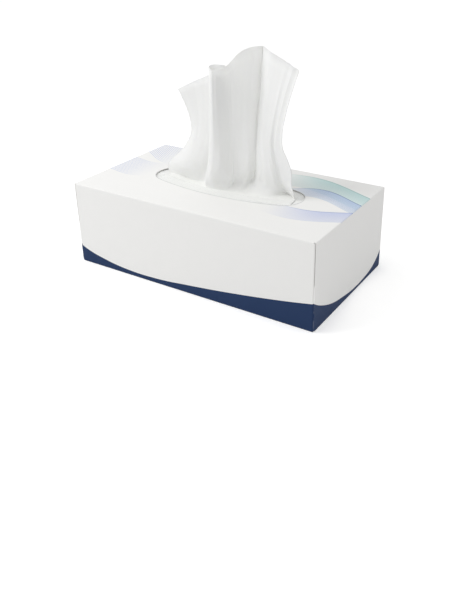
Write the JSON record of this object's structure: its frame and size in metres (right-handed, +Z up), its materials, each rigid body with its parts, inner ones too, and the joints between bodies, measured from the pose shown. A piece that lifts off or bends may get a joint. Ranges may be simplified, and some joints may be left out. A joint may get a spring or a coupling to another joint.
{
  "type": "tissue box",
  "caption": "Flat cardboard tissue box with an oval opening, a clear film with a slit, folded sheets inside and one sheet standing up in soft folds.",
  "frame": {"origin": "centre of the base, on the surface that the box rests on", "axes": "+X along the box, +Y across it from front to back, +Z up"},
  "size_m": [0.22, 0.12, 0.1782],
  "materials": {
    "printed_board": "satin",
    "clear_film": "gloss",
    "tissue_paper": "matte"
  },
  "bodies": {
    "root": {"carton": "printed_board", "window_film": "clear_film", "tissue_pack": "tissue_paper", "popup_tissue": "tissue_paper"}
  },
  "joints": []
}
